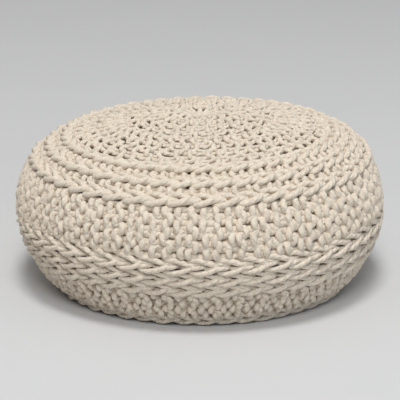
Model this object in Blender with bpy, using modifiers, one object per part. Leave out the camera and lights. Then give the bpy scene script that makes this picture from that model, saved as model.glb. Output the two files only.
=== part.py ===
"""Knitted pouf: a low round floor cushion in a thick cotton cord cover.

The cover is one knitted piece, drawn together at the crown and filled, so it is one closed solid.
Its wales run round the pouf. Seven of them stand proud as chains: three on the shoulder, three
in a belt just below the widest place, and one at the rim, where the side turns under the base.
The filled cover has settled unevenly: it is fuller on one shoulder and sags a little at the
front right.

Metres, +Z up. The origin is on the floor, in the middle of the flat base. The front faces -Y.
"""
import math

import bmesh
import bpy
from mathutils import Vector

NAME = "knitted_pouf"

# Driving sizes, in metres.
DIAMETER = 0.594  # between the chains; 0.600 over them
HALF = DIAMETER / 2

# The outline from the crown down to the flat base. Radius and height are shares of HALF.
OUTLINE = (
    # place            radius  height
    ("crown_gather",    0.000, 0.932),
    ("crown_lip",       0.150, 0.951),
    ("crown_slope",     0.390, 0.919),
    ("crown_edge",      0.600, 0.874),
    ("shoulder_top",    0.725, 0.838),
    ("shoulder",        0.846, 0.775),
    ("side_top",        0.940, 0.680),
    ("upper_side",      0.989, 0.561),
    ("widest",          1.000, 0.434),
    ("belt_foot",       0.973, 0.275),
    ("lower_side",      0.900, 0.128),
    ("rim",             0.824, 0.030),
    ("base_edge",       0.780, 0.000),
)
OUTLINE_STEPS = 24  # points worked out between two places of the outline

# The raised chains. Centre and width are shares of HALF, measured along the outline from the
# crown; proud is how far the chain stands out of the cover, in metres.
CHAINS = (
    # name              centre  width  proud
    ("crown_chain",      0.742, 0.062, 0.0025),
    ("middle_chain",     0.847, 0.062, 0.0025),
    ("shoulder_chain",   0.950, 0.066, 0.0035),
    ("belt_top",         1.303, 0.069, 0.0030),
    ("belt_middle",      1.373, 0.069, 0.0030),
    ("belt_bottom",      1.443, 0.069, 0.0030),
    ("rim_chain",        1.712, 0.060, 0.0020),
)
CHAIN_SECTION = ((0.0, 0.0), (0.22, 0.75), (0.5, 1.0), (0.78, 0.75), (1.0, 0.0))  # (across, rise)
PLAIN_SPACING = 0.078  # between the points on a plain stretch, a share of HALF
STEPS_ROUND = 72

# How the filled cover has settled. Lengths are in metres, angles in degrees from +X.
LEAN = 0.020          # rise for each metre towards the fuller side, full at the crown
LEAN_TOWARDS = 22.0
SAG = 0.006           # most that the side drops
SAG_AT = -62.0
SAG_SHARPNESS = 3.0
OVAL = 0.004          # share by which the plan is out of round
OVAL_AT = 20.0
LUMPS = (
    # waves round, waves up, depth, start angle
    (3, 1.0, 0.0012, 35.0),
    (5, 1.5, 0.0009, 160.0),
    (7, 2.0, 0.0006, 80.0),
)

# Cotton cord: a warm undyed cream.
CORD_COLOUR = (0.72, 0.64, 0.52, 1.0)
CORD_ROUGHNESS = 0.92


def clear_objects():
    for old in list(bpy.data.objects):
        bpy.data.objects.remove(old, do_unlink=True)


def smooth_outline():
    """Points of one smooth curve through the outline's places, in metres, crown first."""
    places = [Vector((radius, height)) * HALF for _, radius, height in OUTLINE]
    ahead = [2 * places[0] - places[1]]
    ahead[0].y = places[1].y  # the curve is level where it crosses the axis
    beyond = [places[-1] + Vector((-HALF * 0.1, 0.0))]
    knots = ahead + places + beyond
    points = []
    for before, start, end, after in zip(knots, knots[1:], knots[2:], knots[3:]):
        for step in range(OUTLINE_STEPS):
            t = step / OUTLINE_STEPS
            points.append(0.5 * (2 * start + (end - before) * t
                                 + (2 * before - 5 * start + 4 * end - after) * t ** 2
                                 + (3 * start - before - 3 * end + after) * t ** 3))
    points.append(places[-1])
    return points


def distances_along(points):
    """Distance of each point from the first, measured along the line through them."""
    total = [0.0]
    for here, there in zip(points, points[1:]):
        total.append(total[-1] + (there - here).length)
    return total


def place_on(points, lengths, distance):
    """The point at a distance along the outline, and the direction out of the cover there."""
    last = len(points) - 2
    index = next((i for i in range(last) if lengths[i + 1] >= distance), last)
    span = points[index + 1] - points[index]
    share = (distance - lengths[index]) / (lengths[index + 1] - lengths[index])
    outward = Vector((-span.y, span.x)).normalized()
    return points[index] + span * share, outward


def turned_profile():
    """The profile to turn: the outline with its raised chains, closed under the base."""
    points = smooth_outline()
    lengths = distances_along(points)
    stations = []  # (distance, rise)
    reached = 0.0
    for _, centre, width, proud in CHAINS + (("end", lengths[-1] / HALF, 0.0, 0.0),):
        start = (centre - width / 2) * HALF
        plain = start - reached
        count = max(1, round(plain / (PLAIN_SPACING * HALF)))
        if plain > 0.001:
            stations += [(reached + plain * i / count, 0.0) for i in range(count)]
        if width:
            # the next stretch begins with this chain's last point
            stations += [(start + across * width * HALF, rise * proud)
                         for across, rise in CHAIN_SECTION[:-1]]
        reached = start + width * HALF
    stations.append((lengths[-1], 0.0))
    profile = []
    for distance, rise in stations:
        point, outward = place_on(points, lengths, distance)
        profile.append((max(0.0, point.x + outward.x * rise), max(0.0, point.y + outward.y * rise)))
    profile[0] = (0.0, points[0].y)
    profile.append((0.0, 0.0))
    return profile


def settled(point, height):
    """Where a point of the round cover lies once the filling has settled.

    The base stays flat, and its edge stays where it is.
    """
    up = min(1.0, max(0.0, point.z / height))
    firm = up * up * (3 - 2 * up)          # nothing at the base, everything at the crown
    middle = math.sin(math.pi * up)        # nothing at the base and the crown
    turn = math.atan2(point.y, point.x)
    radius = math.hypot(point.x, point.y)
    lobe = (0.5 + 0.5 * math.cos(turn - math.radians(SAG_AT))) ** SAG_SHARPNESS
    lift = LEAN * radius * math.cos(turn - math.radians(LEAN_TOWARDS)) * firm
    swell = OVAL * radius * math.cos(2 * (turn - math.radians(OVAL_AT))) * middle
    for waves, rises, depth, start in LUMPS:
        away = min(1.0, radius / (0.5 * HALF))
        swell += depth * away * middle * math.cos(waves * turn + math.radians(start)
                                                  + 2 * math.pi * rises * up)
    radius = radius + swell
    return Vector((radius * math.cos(turn), radius * math.sin(turn),
                   point.z + lift - SAG * lobe * middle))


def turned_mesh(profile):
    """The profile turned round Z with a Screw modifier, as a mesh of its own."""
    outline = bpy.data.meshes.new("profile")
    outline.from_pydata([(radius, 0.0, height) for radius, height in profile],
                        [(i, i + 1) for i in range(len(profile) - 1)], [])
    holder = bpy.data.objects.new("profile", outline)
    bpy.context.scene.collection.objects.link(holder)
    screw = holder.modifiers.new("turn", "SCREW")
    screw.axis = "Z"
    screw.angle = math.tau
    screw.steps = STEPS_ROUND
    screw.render_steps = STEPS_ROUND
    screw.use_merge_vertices = True
    screw.merge_threshold = 0.00005
    bpy.context.view_layer.update()
    depsgraph = bpy.context.evaluated_depsgraph_get()
    mesh = bpy.data.meshes.new_from_object(holder.evaluated_get(depsgraph))
    bpy.data.objects.remove(holder, do_unlink=True)
    return mesh


def cord_material():
    material = bpy.data.materials.new("cotton_cord")
    material.use_nodes = True
    shader = material.node_tree.nodes["Principled BSDF"]
    shader.inputs["Base Color"].default_value = CORD_COLOUR
    shader.inputs["Roughness"].default_value = CORD_ROUGHNESS
    shader.inputs["Metallic"].default_value = 0.0
    return material


def filled_cover():
    """The whole pouf: the filled cover, settled on its flat base."""
    profile = turned_profile()
    mesh = turned_mesh(profile)
    height = max(z for _, z in profile)
    for vertex in mesh.vertices:
        vertex.co = settled(vertex.co, height)
    mesh.name = NAME
    mesh.shade_smooth()
    mesh.set_sharp_from_angle(angle=math.radians(50))
    mesh.materials.clear()
    mesh.materials.append(cord_material())
    return bpy.data.objects.new(NAME, mesh)


def main():
    clear_objects()
    collection = bpy.data.collections.new("Knitted pouf")
    bpy.context.scene.collection.children.link(collection)
    collection.objects.link(filled_cover())


main()
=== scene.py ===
"""Looks of the knitted pouf: its cover of thick cotton cord, loop by loop, on a filled backing.

The cover is knitted sideways. Its courses run from the crown down the side and under to the middle
of the base, and its wales run round the pouf. A place on the cover is given by a course and by t,
which counts the wales from the crown: 0 is the crown's gathered middle. Each wale holds one stitch
of every course. Its loop starts at a foot, on the wale's edge, goes round a head, in the wale's
middle, and ends at the next foot. A purl wale shows heads and feet, a knit wale shows the legs.
"""

import math
from collections import namedtuple

import bpy
import numpy as np
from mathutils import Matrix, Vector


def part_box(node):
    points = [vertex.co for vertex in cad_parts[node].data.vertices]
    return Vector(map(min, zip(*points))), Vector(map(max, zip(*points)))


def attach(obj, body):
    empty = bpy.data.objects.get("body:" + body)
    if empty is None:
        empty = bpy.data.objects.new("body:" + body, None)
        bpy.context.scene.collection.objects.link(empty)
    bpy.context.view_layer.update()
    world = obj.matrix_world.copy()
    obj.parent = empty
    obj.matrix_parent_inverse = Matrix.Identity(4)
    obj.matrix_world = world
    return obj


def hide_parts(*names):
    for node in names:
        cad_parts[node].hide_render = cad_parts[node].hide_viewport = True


NODE = "knitted_pouf"

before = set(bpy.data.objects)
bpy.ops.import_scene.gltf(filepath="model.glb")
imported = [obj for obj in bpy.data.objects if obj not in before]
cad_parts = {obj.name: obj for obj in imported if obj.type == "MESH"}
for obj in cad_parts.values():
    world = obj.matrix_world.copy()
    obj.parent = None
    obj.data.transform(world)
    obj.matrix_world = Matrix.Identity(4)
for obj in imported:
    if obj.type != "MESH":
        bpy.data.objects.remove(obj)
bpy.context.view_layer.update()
cad_low, cad_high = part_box(NODE)

# ---------------------------------------------------------------- the filled form, as in the CAD
HALF_WIDTH = (cad_high.x - cad_low.x) / 2  # over the chains
OVER_CHAINS = 0.99                         # the outline's half width, as a share of that
HALF = OVER_CHAINS * HALF_WIDTH
OUTLINE = (
    # place            radius  height, shares of HALF
    ("crown_gather",    0.000, 0.932),
    ("crown_lip",       0.150, 0.951),
    ("crown_slope",     0.390, 0.919),
    ("crown_edge",      0.600, 0.874),
    ("shoulder_top",    0.725, 0.838),
    ("shoulder",        0.846, 0.775),
    ("side_top",        0.940, 0.680),
    ("upper_side",      0.989, 0.561),
    ("widest",          1.000, 0.434),
    ("belt_foot",       0.973, 0.275),
    ("lower_side",      0.900, 0.128),
    ("rim",             0.824, 0.030),
    ("base_edge",       0.780, 0.000),
)
CROWN_TOP = max(height for _, _, height in OUTLINE) * HALF
OUTLINE_STEPS = 24    # points from one place to the next
GUIDE = 0.1           # the curve's last guide point is this share of HALF in, under the base
SLOPE_STEP = 0.004    # the outline's slope is read this far to both sides, in metres

LEAN, LEAN_TOWARDS = 0.020, math.radians(22.0)   # rise of the crown, a share of the radius
SAG, SAG_AT = 0.006, math.radians(-62.0)         # drop of the side there, in metres
SAG_SHARPNESS = 3.0                              # the higher, the narrower the sag
OVAL, OVAL_AT = 0.004, math.radians(20.0)        # swell of the side, a share of the radius
LUMPS = (
    # waves round, waves up, depth (m), start
    (3, 1.0, 0.0012, math.radians(35.0)),
    (5, 1.5, 0.0009, math.radians(160.0)),
    (7, 2.0, 0.0006, math.radians(80.0)),
)
FULL_LUMPS = 0.5      # the lumps fade towards the axis from this share of HALF

# ---------------------------------------------------------------- the knit
INSET = 0.0084        # from the outline in to the middle of the knit's thickness
PURL_DEPTH = 0.0044   # how far a cord's middle swings in and out of that in a purl wale
KNIT_DEPTH = 0.0048   # and in a knit one
FLOOR_GAP = 0.0004    # the base is pressed flat this far above the floor

CROWN_HOLE = 0.030    # where the first wale starts, a share of HALF
Band = namedtuple("Band", "name knit wales end cord rise relief even reach stagger piece")
BANDS = tuple(Band(*row) for row in (
    # name              knit   wales  end    cord    rise    relief even  reach stagger piece
    ("crown_spokes",    False, 1,     0.130, 0.0038, 0.0015, 0.30,  1.00, 0.10, 0.00, "knit_crown_middle"),
    ("crown_middle",    False, 4,     0.409, 0.0038, 0.0015, 0.60,  0.95, 0.47, 0.20, "knit_crown_middle"),
    ("crown_rounds",    False, 4,     0.713, 0.0040, 0.0015, 0.60,  0.95, 0.48, 0.25, "knit_crown_rounds"),
    ("crown_chain",     True,  1,     0.767, 0.0043, 0.0022, 1.05,  0.00, 0.92, 0.00, "knit_shoulder"),
    ("upper_groove",    False, 1,     0.818, 0.0043, 0.0002, 1.00,  0.00, 0.95, 0.00, "knit_shoulder"),
    ("middle_chain",    True,  1,     0.871, 0.0043, 0.0024, 1.05,  0.00, 0.92, 0.00, "knit_shoulder"),
    ("lower_groove",    False, 1,     0.924, 0.0045, 0.0002, 1.00,  0.00, 0.95, 0.00, "knit_shoulder"),
    ("shoulder_chain",  True,  1,     0.980, 0.0044, 0.0028, 1.05,  0.00, 0.92, 0.00, "knit_shoulder"),
    ("side",            False, 4,     1.268, 0.0051, 0.0000, 1.00,  0.00, 1.00, 0.00, "knit_side"),
    ("belt",            True,  3,     1.478, 0.0038, 0.0012, 1.10,  0.00, 1.08, 0.00, "knit_belt"),
    ("lower_side",      False, 4,     1.682, 0.0045, 0.0000, 1.35,  0.00, 0.95, 0.20, "knit_lower_side"),
    ("rim_chain",       True,  1,     1.742, 0.0038, 0.0006, 0.90,  0.00, 0.92, 0.00, "knit_lower_side"),
    ("base",            False, 9,     2.500, 0.0046, 0.0000, 0.85,  0.00, 0.80, 0.00, "knit_base"),
))
# end: where the band ends along the outline, a share of HALF
# cord and rise: the cord's radius and how far the band stands out, in metres
# relief and reach: shares of the cord's swing in depth and of its swing to both sides
# even: how far a purl wale's legs are straight and evenly spaced, from 0 to 1
# stagger: the wales are shifted by this many courses, by turns one way and the other
WALES = sum(band.wales for band in BANDS)

WEDGES = 12           # short-row wedges
WEDGE_COURSES = 8     # courses in a wedge, of which fewer reach further in
REACHING = (
    # wales out from the middle of the crown or the base, courses of a wedge from there on
    (0, (0,)),
    (2, (0, 4)),
    (5, (0, 2, 4, 6)),
    (9, (0, 1, 2, 3, 4, 5, 6, 7)),
)
COURSES = WEDGES * WEDGE_COURSES
FIRST_ANGLE = math.radians(-88.75)   # the first wedge starts near the front

# The two kinds of course take turns: a loose one and a tight one, in this order below. Each half
# stitch runs from a foot to a head in eight even parts; the other half mirrors it.
HEAD_REACH = (1.20, 1.05)    # from the course to its heads, in courses
FOOT_REACH = (1.22, 0.96)    # and the other way to its feet
SWING = (0.0, 0.01, 0.06, 0.22, 0.50, 0.78, 0.94, 0.99, 1.0)   # from foot to head
PURL_ALONG = (
    # place in the wale, from its edge, at the foot, to its middle, at the head
    (0.0, 0.18, 0.31, 0.33, 0.26, 0.18, 0.19, 0.33, 0.5),
    (0.0, 0.07, 0.14, 0.19, 0.20, 0.16, 0.15, 0.30, 0.5),
)
KNIT_ALONG = (
    (0.0, 0.30, 0.47, 0.34, 0.05, -0.02, 0.10, 0.27, 0.5),
    (0.0, 0.28, 0.42, 0.40, 0.33, 0.29, 0.31, 0.38, 0.5),
)
EVEN_ALONG = (0.0, 0.08, 0.17, 0.21, 0.21, 0.20, 0.20, 0.28, 0.5)
PURL_OUT = (
    # shares of the swing in depth
    (1.0, 0.85, 0.25, -0.55, -0.80, -0.55, 0.20, 0.85, 1.0),
    (0.4, 0.30, 0.00, -0.60, -0.85, -0.60, 0.20, 0.85, 1.0),
)
KNIT_OUT = (
    (-1.0, -0.70, 0.50, 1.10, 1.05, 0.60, -0.25, -0.85, -1.0),
    (-1.0, -0.80, 0.10, 0.65, 0.70, 0.35, -0.35, -0.85, -1.0),
)

PURL_SWELL = 0.15     # how much thicker the slack cord is at a head or a foot than between them
KNIT_SWELL = 0.08     # how much thicker a loose leg is in a knit wale, and a tight one thinner
PURL_BLEND = 0.16     # a knit wale turns into a purl one over this share of each
TUCK = 0.0022         # how far a cord dips where it goes from a knit wale into a purl one
ROLL = 0.0015         # how far a chain's lower legs stand out and its upper ones lie back
LEAD = 0.35           # a course's end dives into the backing over this share of a wale
LEAD_DEPTH = 0.010    # and goes this deep
LEAST_RADIUS = 0.004  # a round is taken to be no smaller than this
SIDES, STEPS = 10, 18              # points round the cord and along a stitch
BASE_SIDES, BASE_STEPS = 6, 12     # the same on the hidden base

SEED = 61
WOBBLES = (
    # of what         spread  values to a wale
    ("reach",         0.07,   2),    # share of the loop's reach
    ("across",        0.055,  2),    # courses
    ("along",         0.045,  2),    # wales
    ("slow_across",   0.07,   1),    # courses
    ("depth",         0.0005, 2),    # metres
    ("thick",         0.035,  1),    # share of the cord's radius
)
WOBBLE_LIMIT = 2.2    # in spreads

# ---------------------------------------------------------------- the backing
BACKING_DEPTH = (
    (0.0, 0.62, 0.74, 2.6),                  # places along the outline, shares of HALF
    (-0.0105, -0.0105, -0.0045, -0.0045),    # metres out from the knit's middle
)
BACKING_ROUND = 144
BACKING_DOWN = 96
POLE_GAP = 0.001      # the middle points of the crown and the base are read this far from the axis

# ---------------------------------------------------------------- curves and tables


def eased(share):
    """From 0 to 1 as share goes from 0 to 1, level at both ends."""
    return share * share * (3 - 2 * share)


def curve(before, start, end, after, share):
    """A smooth curve from start to end, through the points before and after them."""
    return 0.5 * (2 * start + (end - before) * share
                  + (2 * before - 5 * start + 4 * end - after) * share ** 2
                  + (3 * start - before - 3 * end + after) * share ** 3)


def read_between(table, rows, place):
    """Values of a table's rows at places between its columns, without corners."""
    place = np.clip(place, 0, table.shape[1] - 1.001)  # just short of the last column
    index = place.astype(int)
    share = eased(place - index)
    return table[rows][:, index] * (1 - share) + table[rows][:, index + 1] * share


# ---------------------------------------------------------------- the form, in numpy


def smooth_outline():
    """Points down the outline and along the flat base to the axis, in metres: radius, height."""
    places = np.array([(radius, height) for _, radius, height in OUTLINE]) * HALF
    ahead = 2 * places[0] - places[1]
    ahead[1] = places[1][1]
    beyond = places[-1] + np.array((-GUIDE * HALF, 0.0))
    knots = np.vstack((ahead, places, beyond))
    share = (np.arange(OUTLINE_STEPS) / OUTLINE_STEPS)[:, None]
    points = [curve(*four, share) for four in zip(knots, knots[1:], knots[2:], knots[3:])]
    under = np.linspace(places[-1], (0.0, 0.0), 2 * OUTLINE_STEPS)
    return np.vstack((*points, under))


OUTLINE_POINTS = smooth_outline()
OUTLINE_ALONG = np.concatenate(
    ([0.0], np.cumsum(np.hypot(*np.diff(OUTLINE_POINTS, axis=0).T))))


def outline_at(along):
    """At distances along the outline: radius, height, and the outward direction's two parts."""
    radius = np.interp(along, OUTLINE_ALONG, OUTLINE_POINTS[:, 0])
    height = np.interp(along, OUTLINE_ALONG, OUTLINE_POINTS[:, 1])
    back, ahead = along - SLOPE_STEP, along + SLOPE_STEP
    run = (np.interp(ahead, OUTLINE_ALONG, OUTLINE_POINTS[:, 0])
           - np.interp(back, OUTLINE_ALONG, OUTLINE_POINTS[:, 0]))
    rise = (np.interp(ahead, OUTLINE_ALONG, OUTLINE_POINTS[:, 1])
            - np.interp(back, OUTLINE_ALONG, OUTLINE_POINTS[:, 1]))
    length = np.hypot(run, rise)
    return radius, height, -rise / length, run / length


def settled(points):
    """Points of the round cover, moved as the filling has settled. The base stays flat."""
    x, y, z = points[..., 0], points[..., 1], points[..., 2]
    up = np.clip(z / CROWN_TOP, 0.0, 1.0)
    middle = np.sin(np.pi * up)
    turn = np.arctan2(y, x)
    radius = np.hypot(x, y)
    lobe = (0.5 + 0.5 * np.cos(turn - SAG_AT)) ** SAG_SHARPNESS
    swell = OVAL * radius * np.cos(2 * (turn - OVAL_AT)) * middle
    away = np.clip(radius / (FULL_LUMPS * HALF), 0.0, 1.0)
    for waves, rises, depth, start in LUMPS:
        swell = swell + depth * away * middle * np.cos(waves * turn + start
                                                       + 2 * np.pi * rises * up)
    lift = LEAN * radius * np.cos(turn - LEAN_TOWARDS) * eased(up) - SAG * lobe * middle
    radius = radius + swell
    return np.stack((radius * np.cos(turn), radius * np.sin(turn), z + lift), axis=-1)


def on_cover(along, angle, depth):
    """Points of the cover and its outward directions, depth metres out of the knit's middle."""
    radius, height, out_r, out_z = outline_at(along)
    out = depth - INSET
    radius = radius + out_r * out
    height = height + out_z * out
    level = 0 * angle  # gives the heights the angles' shape
    points = np.stack((radius * np.cos(angle), radius * np.sin(angle), height + level), axis=-1)
    outward = np.stack((out_r * np.cos(angle), out_r * np.sin(angle), out_z + level), axis=-1)
    return settled(points), outward


# ---------------------------------------------------------------- the courses


def wale_edges():
    """Where each wale starts and ends along the outline, in metres."""
    edges = [CROWN_HOLE]
    for band in BANDS:
        edges += list(np.linspace(edges[-1], band.end, band.wales + 1)[1:])
    return np.array(edges) * HALF


def by_wale(column):
    """A column of BANDS as a table of one row, with a value for each wale."""
    return np.array([[getattr(band, column) for band in BANDS for _ in range(band.wales)]])


EDGES = wale_edges()
PURL = np.where(by_wale("knit")[0], 0.0, 1.0)
CORD, RISE, RELIEF = by_wale("cord"), by_wale("rise"), by_wale("relief")
EVEN, REACH, STAGGER = by_wale("even"), by_wale("reach"), by_wale("stagger")
STAGGER[0, ::2] *= -1


def along_outline(t):
    """Distance along the outline at t, which may run a little past both ends."""
    pitch_in, pitch_out = EDGES[1] - EDGES[0], EDGES[-1] - EDGES[-2]
    inner = np.minimum(t, 0.0) * pitch_in
    outer = np.maximum(t - WALES, 0.0) * pitch_out
    return np.interp(t, np.arange(WALES + 1), EDGES) + inner + outer


def reaching(wale):
    """The courses of a wedge that a wale has."""
    inward = min(wale, WALES - 1 - wale)
    return [courses for start, courses in REACHING if inward >= start][-1]


def course_tables():
    """For every course and wale: its angle, the angle to the next, its kind, whether it is there.

    A course has the values of its last wale also where it no longer reaches.
    """
    shape = (COURSES, WALES)
    angle, spacing, kind = np.zeros(shape), np.zeros(shape), np.zeros(shape)
    there = np.zeros(shape, bool)
    wedge = 2 * np.pi / WEDGES
    for wale in range(WALES):
        members = reaching(wale)
        step = wedge / len(members)
        for place, member in enumerate(members):
            rows = member + WEDGE_COURSES * np.arange(WEDGES)
            angle[rows, wale] = FIRST_ANGLE + wedge * np.arange(WEDGES) + step * place
            spacing[rows, wale] = step
            # where a wedge has a single course, the wedges take turns
            kind[rows, wale] = (place + (len(members) % 2) * np.arange(WEDGES)) % 2
            there[rows, wale] = True
    for row in range(COURSES):
        first = int(np.argmax(there[row]))
        last = WALES - 1 - int(np.argmax(there[row][::-1]))
        for table in (angle, spacing, kind):
            table[row, :first] = table[row, first]
            table[row, last + 1:] = table[row, last]
    return angle, spacing, kind, there


ANGLE, SPACING, KIND, THERE = course_tables()     # kind: 0 in a loose course, 1 in a tight one
FIRST = np.argmax(THERE, axis=1)                  # where a course's first wale starts
LAST = WALES - np.argmax(THERE[:, ::-1], axis=1)  # where its last wale ends


def at_wale(table, rows, t):
    """Values of a table's rows at t; its columns are the wales' middles."""
    return read_between(table, rows, t - 0.5)


class Wobble:
    """Uneven hand work: for each course, smooth random values along t, a few to a wale."""

    def __init__(self, rng, spread, per_wale):
        self.per_wale = per_wale
        columns = WALES * per_wale + 4  # four more, because a course runs past its wales
        values = rng.normal(0.0, spread, (COURSES, columns))
        self.table = values.clip(-WOBBLE_LIMIT * spread, WOBBLE_LIMIT * spread)

    def at(self, rows, t):
        return read_between(self.table, rows, (t + 1) * self.per_wale)


rng = np.random.default_rng(SEED)
WOBBLE = {name: Wobble(rng, spread, per_wale) for name, spread, per_wale in WOBBLES}


def purl_share(t):
    """1 in a purl wale, 0 in a knit one, and a half on the edge between the two."""
    wale = np.clip(np.floor(t).astype(int), 0, WALES - 1)
    inside = t - wale
    near = np.where(inside < 0.5, np.clip(wale - 1, 0, None), np.clip(wale + 1, None, WALES - 1))
    own = 0.5 + 0.5 * eased(np.clip(np.minimum(inside, 1 - inside) / PURL_BLEND, 0.0, 1.0))
    return PURL[wale] * own + PURL[near] * (1 - own)


def half_stitch(knots, t, odd=False):
    """A smooth value along the stitches, through knots from a foot (whole t) to a head.

    It is mirrored past the head. Odd knots are places along the wale: what comes back is how far
    they are from an even run, and past the head that is turned round too.
    """
    knots = np.array(knots)
    here = t - np.floor(t)
    share = 1 - np.abs(1 - 2 * here)
    if odd:
        knots = knots - 0.5 * np.linspace(0.0, 1.0, len(knots))
    mirror = -1.0 if odd else 1.0
    parts = len(knots) - 1
    guided = np.concatenate(([mirror * knots[1]], knots, [mirror * knots[-2]]))
    place = share * parts
    index = np.minimum(place.astype(int), parts - 1)
    value = curve(*(guided[index + step] for step in range(4)), place - index)
    if odd:
        value = np.where(here < 0.5, value, -value)
    return value


def course_paths(rows, t):
    """Middle line, outward directions and cord radius of some courses, at every t."""
    head = half_stitch(SWING, t)         # 1 at a head, 0 at a foot
    kind = at_wale(KIND, rows, t)
    purl = purl_share(t)
    uneven = {name: wobble.at(rows, t) for name, wobble in WOBBLE.items()}

    def by_kind(pair):
        return pair[0] + (pair[1] - pair[0]) * kind

    def stitch(purl_knots, knit_knots, odd=False):
        purled = by_kind([half_stitch(knots, t, odd) for knots in purl_knots])
        knitted = by_kind([half_stitch(knots, t, odd) for knots in knit_knots])
        return purled, knitted

    # in and out
    purled, knitted = stitch(PURL_OUT, KNIT_OUT)
    depth = purled * purl * PURL_DEPTH + knitted * (1 - purl) * KNIT_DEPTH
    depth = depth * at_wale(RELIEF, [0], t)
    depth = depth + at_wale(RISE, [0], t) + uneven["depth"]
    depth = depth - TUCK * (1 - np.abs(2 * purl - 1))
    depth = depth - ROLL * np.sin(2 * np.pi * t) * (1 - purl)

    # the ends of a short course run straight and dive
    start = np.clip((FIRST[rows][:, None] - t) / LEAD, 0.0, 1.0)
    end = np.clip((t - LAST[rows][:, None]) / LEAD, 0.0, 1.0)
    dive = np.maximum(start, end)
    free = 1 - eased(dive)
    depth = depth * free - LEAD_DEPTH * dive

    # down the outline
    purled, knitted = stitch(PURL_ALONG, KNIT_ALONG, odd=True)
    even = at_wale(EVEN, [0], t)
    purled = purled * (1 - even) + half_stitch(EVEN_ALONG, t, odd=True) * even
    sideways = purled * purl + knitted * (1 - purl)
    along = along_outline(t + sideways * free + uneven["along"])

    # round the pouf, in metres and then as an angle
    radius = np.maximum(outline_at(along_outline(t))[0], LEAST_RADIUS)
    spacing = at_wale(SPACING, rows, t)
    reach = at_wale(REACH, [0], t) * radius
    head_reach = by_kind(HEAD_REACH) * spacing * reach
    foot_reach = by_kind(FOOT_REACH) * spacing * reach
    across = (head_reach * head - foot_reach * (1 - head)) * (1 + uneven["reach"]) * free
    shift = at_wale(STAGGER, [0], t) + uneven["across"] + uneven["slow_across"]
    across = across + shift * (spacing * radius)
    angle = at_wale(ANGLE, rows, t) - across / radius
    points, outward = on_cover(along, angle, depth)

    # the cord's own thickness
    slack = 1 + PURL_SWELL * purl * (2 * np.abs(head - 0.5) - 0.5)
    slack = slack + KNIT_SWELL * (1 - purl) * (1 - 2 * kind)
    thick = at_wale(CORD, [0], t) * slack * (1 + uneven["thick"])
    return points, outward, thick


def unit(vectors):
    return vectors / np.linalg.norm(vectors, axis=-1, keepdims=True)


def tubes(rows, t, sides):
    """Closed tubes along courses: points (course, step, side), and distances along each."""
    points, outward, thick = course_paths(rows, t)
    ahead = unit(np.gradient(points, axis=1))
    aside = unit(np.cross(ahead, outward))
    upward = np.cross(aside, ahead)
    turn = 2 * np.pi * np.arange(sides) / sides
    ring = (upward[:, :, None] * np.cos(turn)[:, None] + aside[:, :, None] * np.sin(turn)[:, None])
    skin = points[:, :, None] + ring * thick[:, :, None, None]
    skin[..., 2] = np.maximum(skin[..., 2], FLOOR_GAP)
    length = np.cumsum(np.linalg.norm(np.diff(points, axis=1, prepend=points[:, :1]), axis=-1),
                       axis=1)
    return skin, length


# ---------------------------------------------------------------- meshes

CORD_MAP = "cord"     # the map's first number is metres along the cord, its second the share round


def add_object(name, data):
    new = bpy.data.objects.new(name, data)
    bpy.context.scene.collection.objects.link(new)
    return new


def mesh_of(name, vertices, faces, cord_places=None):
    """A mesh from arrays: faces is a list of arrays, each of faces with one number of corners."""
    mesh = bpy.data.meshes.new(name)
    corners = np.concatenate([group.ravel() for group in faces]).astype(np.int32)
    sizes = np.concatenate([np.full(len(group), group.shape[1]) for group in faces])
    starts = np.concatenate(([0], np.cumsum(sizes)[:-1])).astype(np.int32)
    mesh.vertices.add(len(vertices))
    mesh.vertices.foreach_set("co", vertices.astype(np.float32).ravel())
    mesh.loops.add(len(corners))
    mesh.loops.foreach_set("vertex_index", corners)
    mesh.polygons.add(len(sizes))
    mesh.polygons.foreach_set("loop_start", starts)
    if cord_places is not None:
        layer = mesh.uv_layers.new(name=CORD_MAP, do_init=False)
        layer.uv.foreach_set("vector", cord_places.astype(np.float32).ravel())
    mesh.update(calc_edges=True)
    mesh.shade_smooth()
    return mesh


def tube_faces(courses, steps, sides):
    """Quads of the tubes' walls and the faces that cap their ends."""
    index = np.arange(courses * steps * sides).reshape(courses, steps, sides)
    beside = np.roll(index, -1, axis=2)
    walls = np.stack((index[:, :-1], beside[:, :-1], beside[:, 1:], index[:, 1:]), axis=-1)
    caps = np.concatenate((index[:, 0, ::-1], index[:, -1]))
    return walls.reshape(-1, 4), caps


def tube_maps(length, sides):
    """The cord map's places for a group of tubes: the corners of the walls, and of the caps."""
    courses, steps = length.shape
    along = np.broadcast_to(length[:, :, None], (courses, steps, sides + 1))
    around = np.broadcast_to(np.arange(sides + 1) / sides, (courses, steps, sides + 1))
    place = np.stack((along, around), axis=-1)
    corner = (place[:, :-1, :-1], place[:, :-1, 1:], place[:, 1:, 1:], place[:, 1:, :-1])
    walls = np.stack(corner, axis=3).reshape(-1, 2)
    caps = np.concatenate((place[:, 0, :-1][:, ::-1], place[:, -1, :-1])).reshape(-1, 2)
    return walls, caps


def stretches(first, last):
    """The courses that run between two wales, by where they start and end there."""
    groups = {}
    for row in range(COURSES):
        start, end = max(FIRST[row], first), min(LAST[row], last)
        if start >= end:
            continue
        lead_in = LEAD if start == FIRST[row] else 0.0
        lead_out = LEAD if end == LAST[row] else 0.0
        groups.setdefault((start - lead_in, end + lead_out), []).append(row)
    return groups


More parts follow.
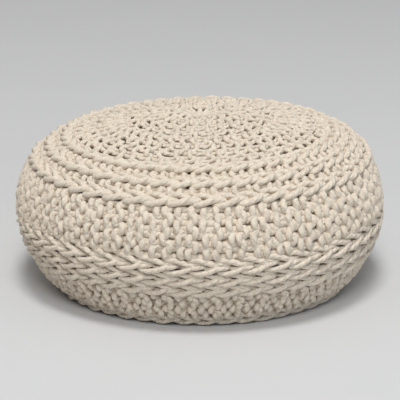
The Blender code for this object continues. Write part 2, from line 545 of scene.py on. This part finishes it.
def knit_piece(name, first, last, sides, steps):
    """One piece of the cover: the stretch of every course from wale first up to wale last."""
    vertices, walls, caps, wall_places, cap_places = [], [], [], [], []
    count = 0
    for (start, end), rows in stretches(first, last).items():
        points = round((end - start) * steps) + 1
        skin, length = tubes(np.array(rows), np.linspace(start, end, points), sides)
        group_walls, group_caps = tube_faces(len(rows), points, sides)
        group_wall_places, group_cap_places = tube_maps(length, sides)
        vertices.append(skin.reshape(-1, 3))
        walls.append(group_walls + count)
        caps.append(group_caps + count)
        wall_places.append(group_wall_places)
        cap_places.append(group_cap_places)
        count += len(vertices[-1])
    return add_object(name, mesh_of(name, np.concatenate(vertices),
                                    [np.concatenate(walls), np.concatenate(caps)],
                                    np.concatenate(wall_places + cap_places)))


def piece_spans():
    """Each piece's name and the wales it starts and ends at."""
    spans = {}
    wale = 0
    for band in BANDS:
        spans.setdefault(band.piece, [wale, wale])[1] = wale + band.wales
        wale += band.wales
    return spans


def backing():
    """The filled body under the cord, seen only in the gaps between the loops."""
    along = np.linspace(0.0, OUTLINE_ALONG[-1], BACKING_DOWN + 1)[1:-1]
    angle = 2 * np.pi * np.arange(BACKING_ROUND) / BACKING_ROUND
    depth = np.interp(along / HALF, *BACKING_DEPTH)
    grid, _ = on_cover(along[:, None], angle[None, :], depth[:, None])
    poles, _ = on_cover(np.array((POLE_GAP, OUTLINE_ALONG[-1] - POLE_GAP)), np.zeros(2),
                        depth[[0, -1]])
    poles[:, :2] = 0.0
    vertices = np.concatenate((grid.reshape(-1, 3), poles))
    index = np.arange(grid.shape[0] * BACKING_ROUND).reshape(grid.shape[:2])
    beside = np.roll(index, -1, axis=1)
    walls = np.stack((index[:-1], index[1:], beside[1:], beside[:-1]), axis=-1).reshape(-1, 4)
    top = np.full(BACKING_ROUND, index.size)
    fans = np.concatenate((np.stack((index[0], beside[0], top), axis=-1),
                           np.stack((beside[-1], index[-1], top + 1), axis=-1)))
    return add_object("filled_body", mesh_of("filled_body", vertices, [walls, fans]))


# ---------------------------------------------------------------- materials

CREAM_LIGHT = (0.815, 0.719, 0.594, 1.0)
CREAM_DEEP = (0.590, 0.510, 0.407, 1.0)
PLY_LENGTH = 0.011    # one turn of the cord's twist, in metres
PLIES = 3
FIBRE_SCALE, PATCH_SCALE = 480.0, 34.0
PATCH_SHARE = 0.30    # how much the patches add to the fibres in the cord's shade
SHADE_LOW, SHADE_HIGH = 0.44, 0.80   # the two together where the cord is deepest and lightest
PLY_SHARE = 0.70      # how much the plies add to the fibres in the cord's bump
SHEEN_TINT = (1.0, 0.95, 0.88, 1.0)

# the filled body's cloth: painted shade, coloured darker than the cord so that the gaps between the loops
# look shaded; the weave noise between the two colours is the cloth's own tone
BACKING_PAINTED_SHADE_LIGHT = (0.60, 0.520, 0.420, 1.0)
BACKING_PAINTED_SHADE_DEEP = (0.50, 0.430, 0.345, 1.0)
WEAVE_SCALE = 260.0

FLOOR_LIGHT = (0.63, 0.63, 0.63, 1.0)
FLOOR_DEEP = (0.61, 0.61, 0.61, 1.0)
FLOOR_SCALE = 3.0


def node_material(name, roughness):
    material = bpy.data.materials.new(name)
    material.use_nodes = True
    tree = material.node_tree
    shader = tree.nodes["Principled BSDF"]
    shader.inputs["Roughness"].default_value = roughness
    return material, tree, shader


def add(tree, kind, **settings):
    node = tree.nodes.new(kind)
    for key, value in settings.items():
        setattr(node, key, value)
    return node


def add_math(tree, operation, first, *numbers):
    """A Math node that reads an output first, and then plain numbers."""
    node = add(tree, "ShaderNodeMath", operation=operation)
    tree.links.new(first, node.inputs[0])
    for place, number in enumerate(numbers, start=1):
        node.inputs[place].default_value = number
    return node


def add_noise(tree, scale, detail=2.0, roughness=0.5):
    """Noise in the piece's own metres."""
    place = add(tree, "ShaderNodeTexCoord")
    noise = add(tree, "ShaderNodeTexNoise")
    noise.inputs["Scale"].default_value = scale
    noise.inputs["Detail"].default_value = detail
    noise.inputs["Roughness"].default_value = roughness
    tree.links.new(place.outputs["Object"], noise.inputs["Vector"])
    return noise.outputs["Fac"]


def add_shade(tree, shader, deep, light, level):
    """The base colour: from deep to light as level goes from 0 to 1."""
    shade = add(tree, "ShaderNodeMix", data_type="RGBA")
    shade.inputs["A"].default_value = deep
    shade.inputs["B"].default_value = light
    tree.links.new(level, shade.inputs["Factor"])
    tree.links.new(shade.outputs["Result"], shader.inputs["Base Color"])


def add_bump(tree, shader, height, strength, distance):
    bump = add(tree, "ShaderNodeBump")
    bump.inputs["Strength"].default_value = strength
    bump.inputs["Distance"].default_value = distance
    tree.links.new(height, bump.inputs["Height"])
    tree.links.new(bump.outputs["Normal"], shader.inputs["Normal"])


def ply_wave(tree):
    """A wave across the plies, from -1 to 1, which turns round the cord as it goes along."""
    place = add(tree, "ShaderNodeUVMap", uv_map=CORD_MAP)
    turn = add(tree, "ShaderNodeVectorMath", operation="DOT_PRODUCT")
    turn.inputs[1].default_value = (1 / PLY_LENGTH, PLIES, 0.0)
    tree.links.new(place.outputs["UV"], turn.inputs[0])
    wave = add_math(tree, "MULTIPLY", turn.outputs["Value"], 2 * math.pi)
    return add_math(tree, "SINE", wave.outputs[0]).outputs[0]


def cord_material():
    """Soft plied cotton: turning plies, fibres all over, and slight changes of shade."""
    material, tree, shader = node_material("cotton_cord_knit", roughness=0.93)
    fibres = add_noise(tree, FIBRE_SCALE, detail=3.0, roughness=0.6)
    patches = add_noise(tree, PATCH_SCALE, detail=4.0, roughness=0.65)

    mottle = add_math(tree, "MULTIPLY_ADD", patches, PATCH_SHARE)
    tree.links.new(fibres, mottle.inputs[2])
    level = add(tree, "ShaderNodeMapRange")
    level.inputs["From Min"].default_value = SHADE_LOW
    level.inputs["From Max"].default_value = SHADE_HIGH
    tree.links.new(mottle.outputs[0], level.inputs["Value"])
    add_shade(tree, shader, CREAM_DEEP, CREAM_LIGHT, level.outputs["Result"])

    height = add_math(tree, "MULTIPLY_ADD", ply_wave(tree), PLY_SHARE)
    tree.links.new(fibres, height.inputs[2])
    add_bump(tree, shader, height.outputs[0], strength=0.8, distance=0.0007)

    shader.inputs["Specular IOR Level"].default_value = 0.25
    shader.inputs["Sheen Weight"].default_value = 0.20
    shader.inputs["Sheen Roughness"].default_value = 0.50
    shader.inputs["Sheen Tint"].default_value = SHEEN_TINT
    return material


def backing_painted_shade_material():
    material, tree, shader = node_material("backing_cloth_painted_shade", roughness=0.95)
    # painted shade: the body is coloured darker than the cord, standing for the shade in the gaps between
    # the loops
    weave = add_noise(tree, WEAVE_SCALE, detail=3.0)
    add_shade(tree, shader, BACKING_PAINTED_SHADE_DEEP, BACKING_PAINTED_SHADE_LIGHT, weave)
    add_bump(tree, shader, weave, strength=0.6, distance=0.0008)
    return material


def floor_material():
    material, tree, shader = node_material("pale_floor", roughness=0.9)
    add_shade(tree, shader, FLOOR_DEEP, FLOOR_LIGHT, add_noise(tree, FLOOR_SCALE))
    return material


# ---------------------------------------------------------------- camera, floor and light

CAMERA_ELEVATION = math.radians(16.7)
CAMERA_DISTANCE = 9.02 * HALF_WIDTH
CAMERA_LENS, CAMERA_SENSOR = 148.4, 36.0   # in millimetres
CAMERA_SIGHT = 100.0                       # how far it sees, in metres
AIM_HEIGHT = 0.430 * HALF_WIDTH
FLOOR_SIZE = 40.0

WHITE = (1.0, 1.0, 1.0)
COOL = (0.60, 0.79, 1.0)
LIGHTS = (
    # name     place             width  power  colour
    ("top",   (0.0, -2.4, 7.6),  2.2,   308.0, WHITE),
    ("front", (0.0, -5.9, 5.7),  2.2,   198.0, WHITE),
    ("right", (3.8, -5.5, 2.0),  1.5,   48.0,  COOL),
)
LIGHT_AIM = (0.0, 0.0, 0.15)
SKY_LOW, SKY_HIGH = 0.03, 0.55   # at the horizon and overhead


def add_camera():
    data = bpy.data.cameras.new("camera")
    data.lens = CAMERA_LENS
    data.sensor_width = CAMERA_SENSOR
    data.clip_end = CAMERA_SIGHT
    camera = add_object("camera", data)
    camera.location = (0.0, -CAMERA_DISTANCE * math.cos(CAMERA_ELEVATION),
                       AIM_HEIGHT + CAMERA_DISTANCE * math.sin(CAMERA_ELEVATION))
    camera.rotation_euler = (math.pi / 2 - CAMERA_ELEVATION, 0.0, 0.0)
    bpy.context.scene.camera = camera


def add_light(name, place, width, power, colour):
    """A round light aimed at the middle of the pouf."""
    data = bpy.data.lights.new(name, "AREA")
    data.shape = "DISK"
    data.size = width
    data.energy = power
    data.color = colour
    light = add_object(name, data)
    light.location = place
    way = np.array(LIGHT_AIM) - np.array(place)
    light.rotation_euler = (math.atan2(math.hypot(way[0], way[1]), -way[2]), 0.0,
                            math.atan2(way[1], way[0]) - math.pi / 2)


def add_floor():
    bpy.ops.mesh.primitive_plane_add(size=FLOOR_SIZE, location=(0.0, 0.0, 0.0))
    floor = bpy.context.active_object
    floor.name = "floor"
    floor.data.materials.append(floor_material())


def add_sky():
    """Plain white light from all round, weak at the horizon and stronger overhead."""
    world = bpy.data.worlds.new("studio")
    bpy.context.scene.world = world
    world.use_nodes = True
    tree = world.node_tree
    background = tree.nodes["Background"]
    background.inputs["Color"].default_value = (*WHITE, 1.0)
    way = add(tree, "ShaderNodeTexCoord")
    parts = add(tree, "ShaderNodeSeparateXYZ")
    tree.links.new(way.outputs["Generated"], parts.inputs["Vector"])
    level = add(tree, "ShaderNodeMapRange")
    level.inputs["To Min"].default_value = SKY_LOW
    level.inputs["To Max"].default_value = SKY_HIGH
    tree.links.new(parts.outputs["Z"], level.inputs["Value"])
    tree.links.new(level.outputs["Result"], background.inputs["Strength"])


def add_studio():
    add_floor()
    add_sky()
    for light in LIGHTS:
        add_light(*light)
    bpy.context.scene.view_settings.view_transform = "Standard"


# ---------------------------------------------------------------- put together


def add_cover():
    """The cover's pieces, all of one cord."""
    material = cord_material()
    for name, (first, last) in piece_spans().items():
        hidden = name == "knit_base"
        sides, steps = (BASE_SIDES, BASE_STEPS) if hidden else (SIDES, STEPS)
        piece = knit_piece(name, first, last, sides, steps)
        piece.data.materials.append(material)
        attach(piece, "root")


def add_body():
    """The filled body, which stands for the whole CAD solid."""
    body = backing()
    # its colour is painted shade, darker than the cord
    body.data.materials.append(backing_painted_shade_material())
    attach(body, "root")
    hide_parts(NODE)


add_camera()
add_studio()
add_cover()
add_body()
